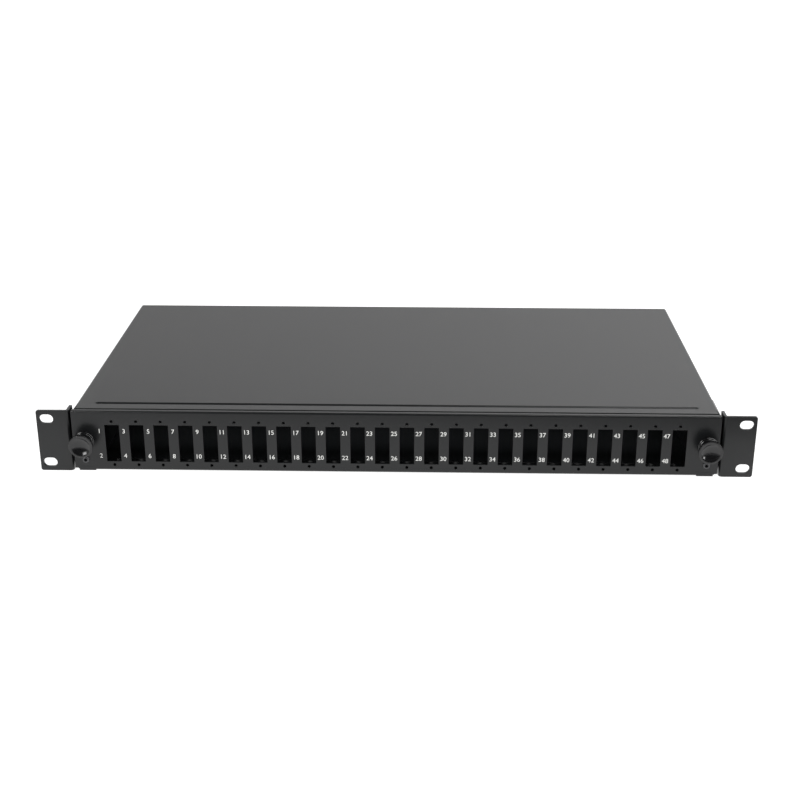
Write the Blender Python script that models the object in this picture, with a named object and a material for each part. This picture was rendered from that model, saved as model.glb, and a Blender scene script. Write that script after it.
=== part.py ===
"""Sliding fibre patch panel for a 19 inch rack, one unit high.

Metres, +Z up, front towards -Y. The origin is under the middle of the case, on the surface that it rests on.
The fixed case carries the ears, cover, cable glands and outer slide rails. The drawer carries the
windowed front, the splice cassettes and the latches, and runs forward on two ball slides.
"""

import math

import bmesh
import bpy
from mathutils import Matrix, Vector

# Sheet metal and the gaps between pieces
sheet = 0.0012
bend_inside = 0.0006
seat_gap = 0.0002
running_gap = 0.0003
screw_play = 0.00025

# Rack ears
rack_width = 0.4826
ear_height = 0.0440
ear_thickness = 0.0020
ear_corner = 0.0015
ear_bend_inside = 0.0002
ear_reach = 0.0223
slot_length = 0.0094
slot_width = 0.0065
slot_inset = 0.0068
slot_rise = 0.03175
ear_flange_length = 0.0480
ear_flange_full = 0.0106
ear_flange_waist = 0.0070

# Case and cover
case_depth = 0.2383
cover_height = 0.04158
cover_side_lift = 0.0025
cover_front = 0.0100
cover_lip = 0.0035
cover_overhang = 0.0005
bead_middle = 0.0205
bead_inset = 0.0107
bead_width = 0.0035
bead_depth = 0.0011
bead_taper = 0.0035
strip_rise = 0.0003

# Front of the drawer
panel_side_gap = 0.0013
panel_thickness = 0.0012
panel_bottom = 0.0007
panel_height = 0.0432
panel_bend_inside = 0.0001
top_return = 0.0035
bottom_return = 0.0035
foot_width = 0.0112
foot_inset = 0.0027
foot_drop = 0.0004
corner_relief = 0.0013

# Adapter windows
window_count = 24
window_margin = 0.01874
window_width = 0.00978
window_height = 0.0267
window_middle = 0.02055
adapter_hole_radius = 0.0011
adapter_hole_centres = 0.0317

# Push-pull latches
latch_inset = 0.0072
latch_travel = 0.0060
knob_radius = 0.0081
knob_reach = 0.0105
knob_wall = 0.0008
knob_dish = 0.0034
knob_dish_opening = math.radians(50)
knob_edge = 0.0003
knob_skirt = 0.0024
knob_neck = 0.0046
collar_radius = 0.0068
collar_back = 0.0024
collar_front = 0.0037
pin_radius = 0.0014
pin_play = 0.00035
pin_tip = 0.0012
grommet_flange = 0.0070
grommet_thickness = 0.0016
grommet_sleeve = 0.0040
grommet_nose = 0.0029
grommet_chamfer = 0.0008
grommet_reach = 0.0085
grommet_split = 0.0008
keeper_below = 0.0050

# Rivets at the panel's ends
rivet_height = 0.0085
rivet_head = 0.0028
rivet_dome = 0.0012
rivet_shank = 0.0016
rivet_hole = 0.0009
rivet_hole_floor = 0.0002

# Ball slides
slide_thickness = 0.0121
rail_height = 0.0174
rail_length = 0.2140
rail_sheet = 0.0010
rail_bend_inside = 0.0004
rail_front = 0.0060
rail_floor_gap = 0.0004
ball_radius = 0.0015
ball_play = 0.0002
ball_count = 4
cage_sheet = 0.0006
cage_play = 0.0020
slide_travel = 0.1400

# Drawer tray
tray_floor_gap = 0.0012
tray_side = 0.0176
tray_depth = 0.2190
cheek_depth = 0.0140
cheek_top = 0.0365
tray_back = 0.0130
front_lip_setback = 0.0030
front_lip_top = 0.0073
front_lip_inset = 0.0135
cable_notch = 0.0280

# Splice cassettes
cassette_width = 0.1560
cassette_depth = 0.0960
cassette_height = 0.0090
cassette_wall = 0.0015
cassette_corner = 0.0260
cassette_setback = 0.0960
cassette_bottom = 0.0012
gate_inset = 0.0040
gate_width = 0.0120
hub_radius = 0.0230
hub_inset = 0.0280
comb_width = 0.0560
comb_depth = 0.0140
comb_height = 0.0055
comb_slots = 12
comb_base = 0.0019
comb_clearance = 0.0010
lid_height = 0.0016
lid_lip = 0.0006
stud_radius = 0.0025
stud_setback = 0.0288
stud_grip = 0.0050
nut_flange = 0.0072
nut_knob = 0.0045

# Bend-radius guides and tube anchors on the drawer floor
guide_radius = 0.0300
guide_height = 0.0160
guide_wall = 0.0018
guide_flange = 0.0050
guide_foot = 0.0016
guide_arc = math.radians(100)
guide_side_gap = 0.0395
anchor_width = 0.0160
anchor_height = 0.0070
anchor_depth = 0.0060
anchor_leg = 0.0030
anchor_bend_inside = 0.0008
anchor_setback = 0.0180

# Cable entries in the back wall
entry_radius = 0.0101
entry_inset = 0.0352
entry_spacing = 0.0320
entry_height = 0.0205
gland_flats = 0.0240
gland_hex = 0.0050
gland_bore = 0.0065
gland_thread_play = 0.0004
gland_collar = 0.0100
gland_collar_wall = 0.0006
gland_cap_wall = 0.0020
gland_mouth = 0.0061
gland_mouth_depth = 0.0030
gland_reach = 0.0170
gland_inside = 0.0085
locknut_height = 0.0040
seal_start = 0.0020
seal_setback = 0.0006
cable_radius = 0.0042
plug_edge = 0.0022
plug_height = 0.0024
plug_lip = 0.0008
plug_nose = 0.0018

# Fasteners in the sides
screw_radius = 0.0019
screw_head = 0.0038
screw_crown = 0.0024
screw_height = 0.0270
screw_beyond = 0.0018

# Worked out from the sizes above
front = -case_depth / 2
back = case_depth / 2
ear_half = rack_width / 2
flange_in = ear_half - ear_reach
cover_half = flange_in - running_gap
case_half = cover_half - sheet - running_gap
panel_half = flange_in - panel_side_gap
foot_outer = panel_half - foot_inset
foot_inner = foot_outer - foot_width
window_pitch = 2 * (panel_half - window_margin) / window_count
slot_x = ear_half - slot_inset
bead_half = cover_half - bead_inset
entry_outer = case_half - entry_inset
entry_inner = entry_outer - entry_spacing
panel_top = panel_bottom + panel_height
panel_middle = panel_bottom + panel_height / 2
wall_back = back - cover_overhang
wall_top = cover_height - sheet - running_gap
latch_x = case_half - latch_inset
tab_front = front + panel_thickness + seat_gap
keeper_front = tab_front + sheet + running_gap
slide_outer = case_half - sheet - seat_gap
slide_inner = slide_outer - slide_thickness
tray_half = slide_inner - seat_gap
tray_bottom = sheet + tray_floor_gap
floor_top = tray_bottom + sheet
rail_bottom = sheet + rail_floor_gap
rail_top = rail_bottom + rail_height
race = 2 * (ball_radius + ball_play)
rail_start = front + rail_front
cassette_middle = front + cassette_setback + cassette_depth / 2
cassette_floor = floor_top + seat_gap
guide_x = tray_half - guide_side_gap - guide_radius - guide_flange
thread_radius = entry_radius - gland_thread_play
OUT_FRONT = (math.pi / 2, 0, 0)
OUT_BACK = (-math.pi / 2, 0, 0)
OVERLAP = 0.0003
LONG = 0.0100


def clear_scene():
    for thing in list(bpy.data.objects):
        bpy.data.objects.remove(thing, do_unlink=True)


def finish_of(name, color, roughness, metallic=0.0):
    """A Principled material of this colour, given as linear red, green and blue."""
    made = bpy.data.materials.get(name)
    if made is None:
        made = bpy.data.materials.new(name)
        made.use_nodes = True
        shader = made.node_tree.nodes["Principled BSDF"]
        shader.inputs["Base Color"].default_value = (*color, 1.0)
        shader.inputs["Roughness"].default_value = roughness
        shader.inputs["Metallic"].default_value = metallic
    return made


def powder_coat():
    return finish_of("black_powder_coat", (0.012, 0.012, 0.013), 0.42)


def zinc_plate():
    return finish_of("zinc_plated_steel", (0.55, 0.56, 0.57), 0.35, 1.0)


def black_nylon():
    return finish_of("black_nylon", (0.014, 0.014, 0.015), 0.38)


def cassette_plastic():
    return finish_of("black_abs", (0.020, 0.020, 0.022), 0.45)


def black_rubber():
    return finish_of("black_rubber", (0.016, 0.016, 0.016), 0.75)


def add_body(name):
    """An empty that carries the pieces of one moving body."""
    body = bpy.data.objects.new(name, None)
    bpy.context.scene.collection.objects.link(body)
    return body


def add_object(name, shape, finish, body=None, location=(0, 0, 0), rotation=(0, 0, 0)):
    """Turns a bmesh, or a mesh that another piece shares, into a named object."""
    if isinstance(shape, bpy.types.Mesh):
        mesh = shape
    else:
        mesh = bpy.data.meshes.new(name)
        shape.to_mesh(mesh)
        shape.free()
        mesh.shade_smooth()
        mesh.set_sharp_from_angle(angle=math.radians(32))
        mesh.materials.append(finish)
    thing = bpy.data.objects.new(name, mesh)
    bpy.context.scene.collection.objects.link(thing)
    thing.parent = body
    thing.location = location
    thing.rotation_euler = rotation
    return thing


def gathered(shapes):
    """Several shapes in one bmesh. Those that touch stay separate islands."""
    whole = bmesh.new()
    carrier = bpy.data.meshes.new("carrier")
    for shape in shapes:
        shape.to_mesh(carrier)
        shape.free()
        whole.from_mesh(carrier)
    bpy.data.meshes.remove(carrier)
    return whole


def combined(shape, others, operation):
    """The first shape with the others cut out of it or joined to it."""
    objects = []
    for part in (shape, others):
        mesh = bpy.data.meshes.new("combined")
        part.to_mesh(mesh)
        part.free()
        objects.append(bpy.data.objects.new("combined", mesh))
        bpy.context.scene.collection.objects.link(objects[-1])
    modifier = objects[0].modifiers.new("boolean", "BOOLEAN")
    modifier.object = objects[1]
    modifier.operation = operation
    modifier.solver = "EXACT"
    graph = bpy.context.evaluated_depsgraph_get()
    result = bmesh.new()
    result.from_mesh(objects[0].evaluated_get(graph).to_mesh())
    for used in objects:
        mesh = used.data
        bpy.data.objects.remove(used, do_unlink=True)
        bpy.data.meshes.remove(mesh)
    return result


def cut(shape, *cutters):
    return combined(shape, gathered(cutters), "DIFFERENCE")


def joined(shape, *others):
    for other in others:
        shape = combined(shape, other, "UNION")
    return shape


def block(x, y, z):
    """A box between the two values given along each axis."""
    shape = bmesh.new()
    bmesh.ops.create_cube(shape, size=1.0)
    lows = [min(pair) for pair in (x, y, z)]
    sides = [max(pair) - min(pair) for pair in (x, y, z)]
    bmesh.ops.scale(shape, vec=sides, verts=shape.verts)
    middle = [low + side / 2 for low, side in zip(lows, sides)]
    bmesh.ops.translate(shape, vec=middle, verts=shape.verts)
    return shape


def rod(radius, start, end, steps=24):
    """A round bar from one point to another."""
    start, end = Vector(start), Vector(end)
    along = end - start
    shape = bmesh.new()
    bmesh.ops.create_cone(
        shape, cap_ends=True, segments=steps, radius1=radius, radius2=radius, depth=along.length
    )
    turn = along.to_track_quat("Z", "Y").to_matrix().to_4x4()
    bmesh.ops.transform(shape, matrix=Matrix.Translation((start + end) / 2) @ turn, verts=shape.verts)
    return shape


def turned(profile, steps=32, ring=False):
    """A lathe shape about Z from (radius, height) points. A ring's profile closes on itself."""
    shape = bmesh.new()
    verts = [shape.verts.new((radius, 0, height)) for radius, height in profile]
    ends = verts[1:] + verts[:1] if ring else verts[1:]
    edges = [shape.edges.new(pair) for pair in zip(verts, ends)]
    bmesh.ops.spin(
        shape,
        geom=verts + edges,
        cent=(0, 0, 0),
        axis=(0, 0, 1),
        angle=math.tau,
        steps=steps,
        use_merge=True,
    )
    bmesh.ops.remove_doubles(shape, verts=shape.verts, dist=1e-7)
    bmesh.ops.recalc_face_normals(shape, faces=shape.faces)
    return shape


def prism(outline, axis, low, high):
    """The solid that a flat outline sweeps along an axis. Its points are the two other coordinates."""
    place = {
        "X": lambda u, v, w: (w, u, v),
        "Y": lambda u, v, w: (u, w, v),
        "Z": lambda u, v, w: (u, v, w),
    }[axis]
    shape = bmesh.new()
    face = shape.faces.new([shape.verts.new(place(u, v, low)) for u, v in outline])
    grown = bmesh.ops.extrude_face_region(shape, geom=[face], use_keep_orig=True)
    moved = [item for item in grown["geom"] if isinstance(item, bmesh.types.BMVert)]
    bmesh.ops.translate(shape, vec=place(0, 0, high - low), verts=moved)
    bmesh.ops.recalc_face_normals(shape, faces=shape.faces)
    return shape


def folded(path, thickness, inside=bend_inside, steps=3):
    """The outline of a folded sheet. The path is one face and the thickness lies left of it."""
    points = [Vector(point) for point in path]
    runs = [(after - before).normalized() for before, after in zip(points, points[1:])]
    lefts = [Vector((-run.y, run.x)) for run in runs]

    def face(offset):
        line = [points[0] + lefts[0] * offset]
        for corner, run, onward, left, left_on in zip(points[1:], runs, runs[1:], lefts, lefts[1:]):
            turn = math.atan2(run.cross(onward), run.dot(onward))
            radius = inside + (thickness - offset if turn > 0 else offset)
            sharp = corner + (left + left_on) * offset / (1 + left.dot(left_on))
            start = sharp - run * radius * math.tan(abs(turn) / 2)
            centre = start + left * math.copysign(radius, turn)
            spoke = start - centre
            line += [
                centre + Matrix.Rotation(turn * step / steps, 2) @ spoke for step in range(steps + 1)
            ]
        return line + [points[-1] + lefts[-1] * offset]

    return face(0.0) + face(thickness)[::-1]


def obround(length, width, steps=8):
    """The outline of a slot with round ends, its length along the first coordinate."""
    reach, radius = (length - width) / 2, width / 2
    angles = [math.pi * step / steps - math.pi / 2 for step in range(steps + 1)]
    half = [(reach + radius * math.cos(angle), radius * math.sin(angle)) for angle in angles]
    return half + [(-u, -v) for u, v in half]


def moved(outline, u, v):
    return [(a + u, b + v) for a, b in outline]


def rounded_rectangle(width, depth, corner, steps=4):
    """The outline of a rectangle about the origin, with round corners."""
    outline = []
    for quarter in range(4):
        across = (width / 2 - corner) * (1 if quarter in (0, 3) else -1)
        along = (depth / 2 - corner) * (1 if quarter in (0, 1) else -1)
        for step in range(steps + 1):
            angle = math.pi / 2 * (quarter + step / steps)
            outline.append((across + corner * math.cos(angle), along + corner * math.sin(angle)))
    return outline


def mirrored(shape, side):
    """The shape as it is for side 1, and its mirror image across X for side -1."""
    if side < 0:
        bmesh.ops.scale(shape, vec=(-1, 1, 1), verts=shape.verts)
        bmesh.ops.reverse_faces(shape, faces=shape.faces)
    return shape


def rounded_edges(shape, along, chosen, radius, steps=3):
    """Rounds the edges that run along one axis and whose two end points both pass the test."""
    edges = []
    for edge in shape.edges:
        ends = [vert.co for vert in edge.verts]
        run = ends[1] - ends[0]
        if abs(run["XYZ".index(along)]) > 0.99 * run.length and all(chosen(co) for co in ends):
            edges.append(edge)
    bmesh.ops.bevel(
        shape, geom=edges, offset=radius, segments=steps, profile=0.5, affect="EDGES", material=-1
    )
    return shape


def screw_places():
    """Distances from the front of the screws along each side, those through the ear first."""
    through_ear = [front + ear_flange_length * share for share in (0.32, 0.58, 0.84)]
    through_cover = [front + case_depth * share for share in (0.55, 0.93)]
    return through_ear, through_cover


def side_holes(inner, outer, places):
    """Cutters for the screws of one side wall, on the side of positive X."""
    reach = screw_radius + screw_play
    return [rod(reach, (inner, y, screw_height), (outer, y, screw_height), 12) for y in places]


def make_case(body):
    """Base, side walls and back wall of folded sheet, with a keeper tab for each latch at the front."""
    walls = folded(
        [(-case_half, wall_top), (-case_half, 0), (case_half, 0), (case_half, wall_top)], sheet
    )
    shape = prism(walls, "Y", keeper_front, wall_back)
    shape = joined(
        shape,
        block(
            (-case_half + sheet / 2, case_half - sheet / 2),
            (wall_back - sheet, wall_back),
            (sheet / 2, wall_top),
        ),
    )
    keeper_inner = tray_half + running_gap + sheet
    keeper_low = panel_middle - keeper_below
    for side in (-1, 1):
        tab = folded(
            [
                (keeper_inner, keeper_front),
                (case_half, keeper_front),
                (case_half, keeper_front + 4 * sheet),
            ],
            sheet,
        )
        shape = joined(shape, mirrored(prism(tab, "Z", keeper_low, wall_top), side))
    through = (keeper_front - LONG, keeper_front + LONG)
    nose_hole = grommet_nose + running_gap
    cutters = [
        block(
            (-case_half + 2 * sheet, case_half - 2 * sheet),
            (front, front + bottom_return + running_gap),
            (-LONG, 2 * sheet),
        )
    ]
    for side in (-1, 1):
        cutters.append(
            rod(
                nose_hole,
                (side * latch_x, through[0], panel_middle),
                (side * latch_x, through[1], panel_middle),
            )
        )
        for x in (entry_outer, entry_inner):
            cutters.append(
                rod(
                    entry_radius,
                    (side * x, wall_back - LONG, entry_height),
                    (side * x, wall_back + LONG, entry_height),
                )
            )
        ear_holes, cover_holes = screw_places()
        cutters += [
            mirrored(hole, side)
            for hole in side_holes(case_half - 2 * sheet, case_half + sheet, ear_holes + cover_holes)
        ]
    return add_object("case_tray", cut(shape, *cutters), powder_coat(), body)


def make_cover(body):
    """Cover folded down both sides, with a pressed bead and a turned-down lip along its front edge."""
    low = cover_side_lift
    outline = folded(
        [(cover_half, low), (cover_half, cover_height), (-cover_half, cover_height), (-cover_half, low)],
        sheet,
    )
    shape = prism(outline, "Y", front + cover_front, back)
    crease = front + bead_middle - bead_width / 2
    everything = shape.verts[:] + shape.edges[:] + shape.faces[:]
    bmesh.ops.bisect_plane(shape, geom=everything, plane_co=(0, crease, 0), plane_no=(0, 1, 0))
    for vert in shape.verts:
        if vert.co.y < front + cover_front + OVERLAP and vert.co.z > cover_height - 2 * sheet:
            vert.co.z += strip_rise
    lip_front = front + cover_front
    lip_end = cover_half - 4 * sheet
    lip = block(
        (-lip_end, lip_end),
        (lip_front, lip_front + sheet),
        (cover_height - cover_lip, cover_height - sheet / 2),
    )
    shape = joined(shape, lip)
    shape = rounded_edges(
        shape, "X", lambda co: co.y < lip_front + OVERLAP / 3 and co.z > cover_height - OVERLAP, sheet * 0.8
    )
    bead_radius = (bead_width**2 / 4 + bead_depth**2) / (2 * bead_depth)
    bead_axis = cover_height - bead_depth + bead_radius

    def spindle(radius):
        full = bead_half - bead_taper
        profile = [(0, -bead_half), (radius, -full), (radius, full), (0, bead_half)]
        bar = turned(profile, 24)
        turn = Matrix.Rotation(math.pi / 2, 4, "Y")
        place = Matrix.Translation((0, front + bead_middle, bead_axis))
        bmesh.ops.transform(bar, matrix=place @ turn, verts=bar.verts)
        return bar

    above = block(
        (-cover_half, cover_half),
        (front, front + 2 * bead_middle),
        (cover_height - sheet / 2, cover_height + LONG),
    )
    ridge = cut(spindle(bead_radius + sheet), above)
    shape = joined(shape, ridge)
    ear_holes, cover_holes = screw_places()
    holes = side_holes(cover_half - 2 * sheet, cover_half + sheet, ear_holes + cover_holes)
    holes += [
        mirrored(hole, -1)
        for hole in side_holes(cover_half - 2 * sheet, cover_half + sheet, ear_holes + cover_holes)
    ]
    return add_object("top_cover", cut(shape, spindle(bead_radius), *holes), powder_coat(), body)


def make_ear(body, side, name):
    """Rack ear bent from thicker sheet, with two slots and a flange that lies along the case."""
    corner = folded(
        [
            (flange_in, front + ear_flange_length),
            (flange_in, front),
            (ear_half, front),
        ],
        ear_thickness,
        ear_bend_inside,
    )
    shape = prism(corner, "Z", 0, ear_height)
    shape = rounded_edges(shape, "Y", lambda co: co.x > ear_half - OVERLAP, ear_corner)
    slots = []
    for rise in (-slot_rise / 2, slot_rise / 2):
        slot = moved(obround(slot_length, slot_width), slot_x, ear_height / 2 + rise)
        slots.append(prism(slot, "Y", front - LONG, front + LONG))
    lengthways = (front + ear_flange_full, front + ear_flange_length + LONG)
    across = (flange_in - LONG, flange_in + LONG)
    above = block(across, lengthways, (ear_height - ear_flange_waist, ear_height + LONG))
    below = block(across, lengthways, (-LONG, ear_flange_waist))
    holes = side_holes(flange_in - sheet, flange_in + 2 * ear_thickness, screw_places()[0])
    return add_object(name, mirrored(cut(shape, *slots, above, below, *holes), side), powder_coat(), body)


def make_screws(body):
    """Pan-head screws that hold the ears and the cover to the case walls."""

    def screw(length):
        profile = [(0, screw_crown), (screw_head * 0.6, screw_crown * 0.82), (screw_head, screw_crown * 0.3)]
        profile += [(screw_head, 0), (screw_radius, 0), (screw_radius, -length), (0, -length)]
        return turned(profile, 12)

    inner_end = case_half - sheet - screw_beyond
    places = [(flange_in + ear_thickness + seat_gap, "ear_screw"), (cover_half + seat_gap, "cover_screw")]
    for (seat, kind), row in zip(places, screw_places()):
        mesh = None
        for side, hand in ((-1, "left"), (1, "right")):
            for number, y in enumerate(row, 1):
                thing = add_object(
                    f"{kind}_{hand}_{number}",
                    mesh or screw(seat - inner_end),
                    zinc_plate(),
                    body,
                    (side * seat, y, screw_height),
                    (0, side * math.pi / 2, 0),
                )
                mesh = thing.data


def make_outer_rail(body, side, name):
    """Channel of a ball slide, fixed along the case wall with its open side towards the drawer."""
    reach = slide_outer - slide_thickness + 2.6 * rail_sheet
    outline = folded(
        [(reach, rail_bottom), (slide_outer, rail_bottom), (slide_outer, rail_top), (reach, rail_top)],
        rail_sheet,
        rail_bend_inside,
    )
    shape = prism(outline, "Y", rail_start, rail_start + rail_length)
    return add_object(name, mirrored(shape, side), zinc_plate(), body)


def make_inner_rail(body, side, name):
    """Narrower channel fixed along the drawer's side, with its open side towards the case wall."""
    reach = slide_outer - 3.4 * rail_sheet
    low = rail_bottom + rail_sheet + race
    high = rail_top - rail_sheet - race
    points = [(reach, high), (slide_inner, high), (slide_inner, low), (reach, low)]
    outline = folded(points, rail_sheet, rail_bend_inside)
    shape = prism(outline, "Y", rail_start, rail_start + rail_length)
    return add_object(name, mirrored(shape, side), zinc_plate(), body)


def make_ball_cage(side, name):
    """Strip that keeps the balls apart between the two rails. It travels half as far as the drawer."""
    body = add_body(f"{name}_travel")
    length = rail_length - slide_travel - 2 * cage_play
    start = rail_start + slide_travel / 2 + cage_play
    web_outer = slide_outer - 2.2 * rail_sheet
    ball_x = slide_inner + slide_thickness / 2
    low = rail_bottom + rail_sheet + race / 2
    high = rail_top - rail_sheet - race / 2
    reach = ball_x - 1.6 * ball_radius
    outline = folded(
        [
            (reach, low - cage_sheet / 2),
            (web_outer, low - cage_sheet / 2),
            (web_outer, high + cage_sheet / 2),
            (reach, high + cage_sheet / 2),
        ],
        cage_sheet,
        cage_sheet / 2,
        2,
    )
    shape = prism(outline, "Y", start, start + length)
    balls = []
    for number in range(ball_count):
        y = start + length * (2 * number + 1) / (2 * ball_count)
        for z in (low, high):
            ball = bmesh.new()
            bmesh.ops.create_icosphere(ball, subdivisions=2, radius=ball_radius)
            bmesh.ops.translate(ball, vec=(ball_x, y, z), verts=ball.verts)
            balls.append(ball)
    shape = joined(shape, gathered(balls))
    return add_object(name, mirrored(shape, side), zinc_plate(), body)


def window_places():
    first = -(window_count - 1) / 2 * window_pitch
    return [first + number * window_pitch for number in range(window_count)]


def make_front_panel(body):
    """Front sheet of the drawer with its adapter windows, folded back along the top and bottom."""
    outline = folded(
        [
            (front + bottom_return, panel_bottom),
            (front, panel_bottom),
            (front, panel_top),
            (front + top_return, panel_top),
        ][::-1],
        panel_thickness,
        panel_bend_inside,
        4,
    )
    shape = prism(outline, "X", -panel_half, panel_half)
    face = (front, front + panel_thickness)
    cutters = []
    for side in (-1, 1):
        foot = block(
            (side * foot_inner, side * foot_outer),
            face,
            (panel_bottom - foot_drop, panel_bottom + 2 * panel_thickness),
        )
        end = block(
            (side * foot_outer, side * panel_half),
            face,
            (panel_bottom + corner_relief, panel_bottom + 3 * panel_thickness),
        )
        trimmed = block(
            (side * foot_inner, side * (panel_half + LONG)),
            (front - LONG, front + bottom_return + LONG),
            (-LONG, panel_bottom + corner_relief + panel_thickness),
        )
        shape = cut(shape, trimmed)
        shape = joined(shape, foot, end)
    through = (front - LONG, front + panel_thickness + LONG)
    for x in window_places():
        cutters.append(
            block(
                (x - window_width / 2, x + window_width / 2),
                through,
                (window_middle - window_height / 2, window_middle + window_height / 2),
            )
        )
        for z in (window_middle - adapter_hole_centres / 2, window_middle + adapter_hole_centres / 2):
            cutters.append(rod(adapter_hole_radius, (x, through[0], z), (x, through[1], z), 8))
    for side in (-1, 1):
        cutters.append(
            rod(
                grommet_sleeve + running_gap,
                (side * latch_x, through[0], panel_middle),
                (side * latch_x, through[1], panel_middle),
            )
        )
        cutters.append(
            rod(
                rivet_shank + seat_gap,
                (side * latch_x, through[0], rivet_height),
                (side * latch_x, through[1], rivet_height),
                12,
            )
        )
    return add_object("front_panel", cut(shape, *cutters), powder_coat(), body)


def make_tray(body):
    """Drawer tray: floor with a front lip, low sides, cheeks turned out behind the panel, notched back."""
    low, high = tray_bottom, tray_bottom + tray_side
    walls = folded([(-tray_half, high), (-tray_half, low), (tray_half, low), (tray_half, high)], sheet)
    shape = prism(walls, "Y", tab_front, tab_front + tray_depth)
    end = tab_front + tray_depth
    across = (-tray_half + sheet / 2, tray_half - sheet / 2)
    shape = joined(shape, block(across, (end - sheet, end), (low + sheet / 2, low + tray_back)))
    lip_half = tray_half - front_lip_inset
    lip_front = tab_front + front_lip_setback
    ahead = block((-lip_half, lip_half), (tab_front - LONG, lip_front), (-LONG, low + 2 * sheet))
    shape = cut(shape, ahead)
    lip = block((-lip_half, lip_half), (lip_front, lip_front + sheet), (low + sheet / 2, front_lip_top))
    shape = joined(shape, lip)
    tab_outer = case_half - running_gap - 1.5 * sheet
    for side in (-1, 1):
        cheek = folded(
            [
                (tab_outer, tab_front),
                (tray_half - sheet, tab_front),
                (tray_half - sheet, tab_front + cheek_depth),
            ][::-1],
            sheet,
        )
        shape = joined(shape, mirrored(prism(cheek, "Z", low + sheet / 2, cheek_top), side))
    through = (tab_front - LONG, tab_front + LONG)
    cutters = []
    for side in (-1, 1):
        cutters.append(
            rod(
                grommet_sleeve + running_gap,
                (side * latch_x, through[0], panel_middle),
                (side * latch_x, through[1], panel_middle),
            )
        )
        cutters.append(
            rod(
                rivet_shank + seat_gap,
                (side * latch_x, through[0], rivet_height),
                (side * latch_x, through[1], rivet_height),
                12,
            )
        )
        notch = (entry_outer + entry_inner) / 2
        cutters.append(
            block(
                (side * (notch - cable_notch / 2), side * (notch + cable_notch / 2)),
                (end - LONG, end + LONG),
                (low + 2 * sheet, high + LONG),
            )
        )
    return add_object("drawer_tray", cut(shape, *cutters), powder_coat(), body)


def make_rivet():
    """Blind rivet with the hole of its mandrel in the dome."""
    grip = panel_thickness + sheet + 3 * seat_gap
    profile = [(0, rivet_hole_floor), (rivet_hole, rivet_hole_floor), (rivet_hole, rivet_dome)]
    profile += [(rivet_head * 0.72, rivet_dome * 0.82), (rivet_head, rivet_dome * 0.12), (rivet_head, 0)]
    profile += [(rivet_shank, 0), (rivet_shank, -grip)]
    profile += [(rivet_shank * 1.5, -grip), (rivet_shank * 1.5, -grip - rivet_shank), (0, -grip - rivet_shank)]
    return turned(profile, 16)


def make_grommet():
    """Nylon grommet of a latch: a flange on the panel, a sleeve through it and a split nose in the keeper."""
    shoulder = -(panel_thickness + sheet + 2 * seat_gap)
    bore = pin_radius + pin_play
    bevel = grommet_thickness / 2
    profile = [(bore, grommet_thickness), (grommet_flange - bevel, grommet_thickness), (grommet_flange, bevel)]
    profile += [(grommet_flange, 0), (grommet_sleeve, 0), (grommet_sleeve, shoulder), (grommet_nose, shoulder)]
    profile += [(grommet_nose, grommet_chamfer - grommet_reach)]
    profile += [(grommet_nose - grommet_chamfer, -grommet_reach), (bore, -grommet_reach)]
    shape = turned(profile, 20, ring=True)
    narrow = (-grommet_split / 2, grommet_split / 2)
    wide = (-grommet_sleeve, grommet_sleeve)
    deep = (-grommet_reach - LONG, shoulder - sheet)
    shape = cut(shape, block(wide, narrow, deep))
    return cut(shape, block(narrow, wide, deep))


def make_plunger():
    """Latch plunger: a dished knob on a neck, a collar that the grommet stops, and the pin that spreads it."""
    rim = knob_radius - knob_wall
    steps = 6
    profile = []
    for step in range(steps + 1):
        angle = knob_dish_opening * step / steps
        rise = (1 - math.cos(angle)) / (1 - math.cos(knob_dish_opening))
        out = math.sin(angle) / math.sin(knob_dish_opening)
        profile.append((rim * out, knob_reach - knob_dish * (1 - rise)))
    neck_front = knob_reach - knob_dish - knob_wall
    profile += [(knob_radius - knob_edge, knob_reach), (knob_radius, knob_reach - knob_edge)]
    profile += [(knob_radius, knob_reach - knob_skirt), (knob_radius - knob_wall, neck_front)]
    profile += [(knob_neck, neck_front - knob_wall), (knob_neck, collar_front)]
    profile += [(collar_radius, collar_front - knob_edge), (collar_radius, collar_back)]
    profile += [(pin_radius, collar_back)]
    profile += [(pin_radius, -grommet_reach - pin_tip / 2), (0, -grommet_reach - pin_tip)]
    return turned(profile, 28)


def make_latches(drawer):
    for side, hand in ((-1, "left"), (1, "right")):
        place = (side * latch_x, front - seat_gap, panel_middle)
        add_object(f"latch_grommet_{hand}", make_grommet(), black_nylon(), drawer, place, OUT_FRONT)
        pull = add_body(f"latch_pull_{hand}")
        pull.parent = drawer
        pull.location = place
        pull.rotation_euler = OUT_FRONT
        add_object(f"latch_plunger_{hand}", make_plunger(), black_nylon(), pull)
        add_object(
            f"panel_rivet_{hand}",
            make_rivet(),
            powder_coat(),
            drawer,
            (side * latch_x, front - seat_gap, rivet_height),
            OUT_FRONT,
        )


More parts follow.
